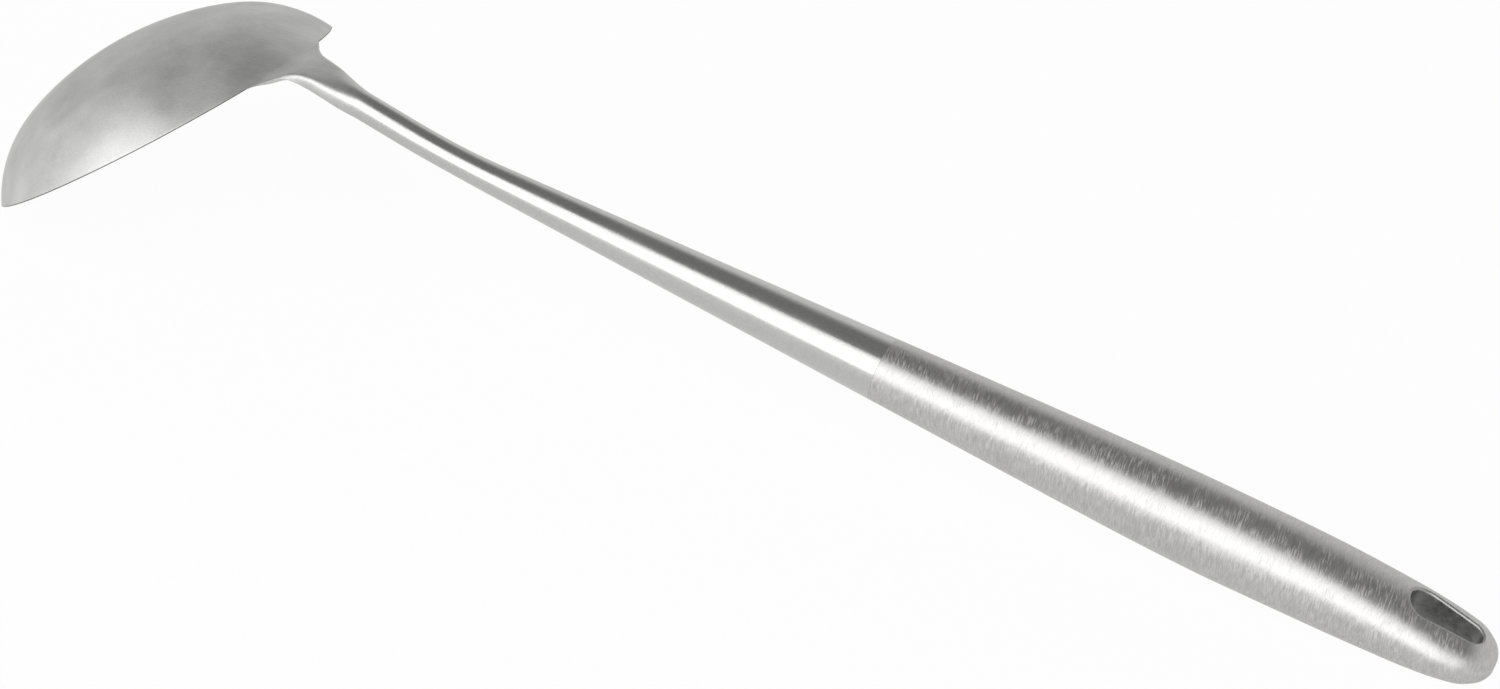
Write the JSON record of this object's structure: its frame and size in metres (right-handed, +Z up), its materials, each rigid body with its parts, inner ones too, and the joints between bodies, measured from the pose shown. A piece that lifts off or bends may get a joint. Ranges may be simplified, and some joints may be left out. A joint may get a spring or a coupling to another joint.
{
  "type": "wok ladle",
  "caption": "Stainless steel wok ladle lying face down: a shallow round bowl whose tongue is rolled into the shank, and a hollow grip with an oblong hanging slot.",
  "frame": {"origin": "centre of the footprint of the ladle's bounding box, on the table", "axes": "+Z up from the table that the ladle lies on face down; +X from the bowl to the grip's nose, in the plane of symmetry; +Y to the left of that"},
  "size_m": [0.453, 0.11, 0.0677],
  "materials": {
    "satin_sheet": "satin stainless sheet, finely brushed along the shank",
    "brushed_grip": "stainless tube, brushed round the grip"
  },
  "bodies": {
    "root": {"bowl_and_shank": "satin_sheet", "grip": "brushed_grip"}
  },
  "joints": []
}
